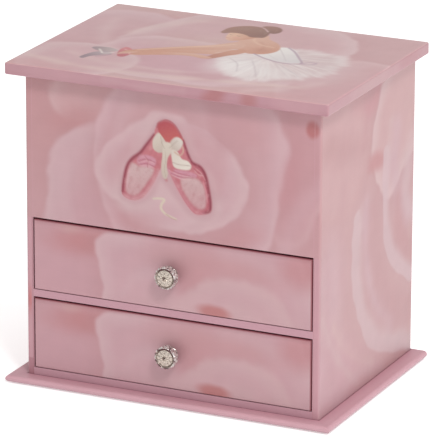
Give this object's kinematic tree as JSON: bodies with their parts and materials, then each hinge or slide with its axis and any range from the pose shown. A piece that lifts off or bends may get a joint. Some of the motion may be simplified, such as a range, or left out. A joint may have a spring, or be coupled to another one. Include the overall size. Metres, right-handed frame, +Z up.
{
  "type": "musical jewellery box",
  "caption": "Paper-covered musical jewellery box with a hinged lid, stacked drawers with round knobs, and a dancer on a spring that rises and turns.",
  "frame": {"origin": "on the surface it stands on, midway between the side panels and midway between the drawer fronts and the back panel", "axes": "+Z up, -Y towards the front where the drawers open, +X to the viewer's right"},
  "size_m": [0.191, 0.1536, 0.1801],
  "materials": {
    "felt": "matt",
    "painted_board": "satin",
    "print_board": "satin",
    "lining": "satin",
    "cushion": "satin",
    "lid_print": "satin",
    "mirror_glass": "polished",
    "brass": "polished",
    "nickel": "polished",
    "steel": "brushed",
    "blued_steel": "polished",
    "spring_steel": "brushed",
    "ivory_plastic": "gloss",
    "figure_plastic": "satin",
    "tulle": "matt"
  },
  "bodies": {
    "case": {"base_felt": "felt", "plinth_board": "painted_board", "left_side_panel": "print_board", "right_side_panel": "print_board", "back_panel": "print_board", "front_fascia": "print_board", "case_bottom": "painted_board", "drawer_shelf": "painted_board", "compartment_floor": "painted_board", "compartment_lining": "lining", "tray_dividers": "lining", "ring_roll_base": "lining", "ring_rolls": "cushion", "music_cover": "lining", "hinge_case_leaves": "brass", "hinge_pins": "brass", "hinge_case_screws": "brass", "movement_back_plate": "steel", "movement_front_plate": "steel", "plate_pillars": "brass", "comb_bridge": "steel", "tone_comb": "steel", "comb_screws": "blued_steel", "click": "steel", "spindle_bushing": "ivory_plastic"},
    "lid": {"lid_board": "lid_print", "mirror_glass": "mirror_glass", "mirror_frame": "lining", "hinge_lid_leaves": "brass", "hinge_lid_screws": "brass"},
    "upper_drawer": {"upper_drawer_front": "print_board", "upper_drawer_sides": "painted_board", "upper_drawer_back": "painted_board", "upper_drawer_bottom": "painted_board", "upper_drawer_lining": "lining", "upper_knob": "nickel", "upper_knob_screw": "steel"},
    "lower_drawer": {"lower_drawer_front": "print_board", "lower_drawer_sides": "painted_board", "lower_drawer_back": "painted_board", "lower_drawer_bottom": "painted_board", "lower_drawer_lining": "lining", "lower_knob": "nickel", "lower_knob_screw": "steel"},
    "barrel": {"mainspring_barrel": "brass", "mainspring": "spring_steel"},
    "winding": {"winding_arbor": "steel", "winding_key": "brass"},
    "cylinder": {"cylinder_drum": "brass", "cylinder_arbor": "brass"},
    "governor": {"governor_wheel": "ivory_plastic"},
    "fly": {"governor_fly": "ivory_plastic"},
    "spindle": {"contrate_wheel": "ivory_plastic", "turntable": "brass"},
    "plunger": {"stop_plunger": "steel"},
    "spring_fold": {"dancer_spring": "steel"},
    "dancer": {"dancer_figure": "figure_plastic", "dancer_tutu": "tulle"}
  },
  "joints": [
    {"name": "lid_hinge", "type": "hinge", "parent": "case", "child": "lid", "pos_m": [0, 0.0647, 0.1735], "axis": [-1, 0, 0], "range_deg": [0, 100]},
    {"name": "upper_drawer_slide", "type": "slide", "parent": "case", "child": "upper_drawer", "axis": [0, -1, 0], "range_m": [0, 0.095]},
    {"name": "lower_drawer_slide", "type": "slide", "parent": "case", "child": "lower_drawer", "axis": [0, -1, 0], "range_m": [0, 0.095]},
    {"name": "cylinder_spin", "type": "hinge", "parent": "case", "child": "cylinder", "pos_m": [0, 0.044, 0.119], "axis": [0, 1, 0], "continuous": true},
    {"name": "winding_key_turn", "type": "hinge", "parent": "case", "child": "winding", "pos_m": [0.018, 0.06, 0.119], "axis": [0, 1, 0], "continuous": true},
    {"name": "barrel_spin", "type": "hinge", "parent": "case", "child": "barrel", "pos_m": [0.018, 0.045, 0.119], "axis": [0, 1, 0], "continuous": true},
    {"name": "governor_spin", "type": "hinge", "parent": "case", "child": "governor", "pos_m": [-0.00848, 0.034, 0.11052], "axis": [0, 1, 0], "continuous": true},
    {"name": "fly_spin", "type": "hinge", "parent": "case", "child": "fly", "pos_m": [-0.01741, 0.044, 0.10691], "axis": [0, 1, 0], "continuous": true},
    {"name": "spindle_spin", "type": "hinge", "parent": "case", "child": "spindle", "pos_m": [0, 0.0208, 0.13], "axis": [0, 0, 1], "continuous": true},
    {"name": "stop_plunger_slide", "type": "slide", "parent": "case", "child": "plunger", "axis": [0, 0, 1], "range_m": [0, 0.004]},
    {"name": "dancer_fold", "type": "hinge", "parent": "case", "child": "spring_fold", "pos_m": [0, 0.0208, 0.1525], "axis": [-1, 0, 0], "range_deg": [0, 90], "deforming": ["dancer_spring"]},
    {"name": "dancer_spin", "type": "hinge", "parent": "spring_fold", "child": "dancer", "pos_m": [0, 0.0148, 0.1525], "axis": [0, -1, 0], "continuous": true}
  ],
  "couplings": [
    {"joint": "barrel_spin", "follows": "cylinder_spin", "ratio": -0.28571},
    {"joint": "governor_spin", "follows": "cylinder_spin", "ratio": -4},
    {"joint": "fly_spin", "follows": "cylinder_spin", "ratio": 18},
    {"joint": "spindle_spin", "follows": "cylinder_spin", "ratio": -0.66667},
    {"joint": "dancer_spin", "follows": "cylinder_spin", "ratio": -0.66667},
    {"joint": "dancer_fold", "follows": "lid_hinge", "ratio": 0.9},
    {"joint": "stop_plunger_slide", "follows": "lid_hinge", "m_per_rad": 0.002291}
  ]
}
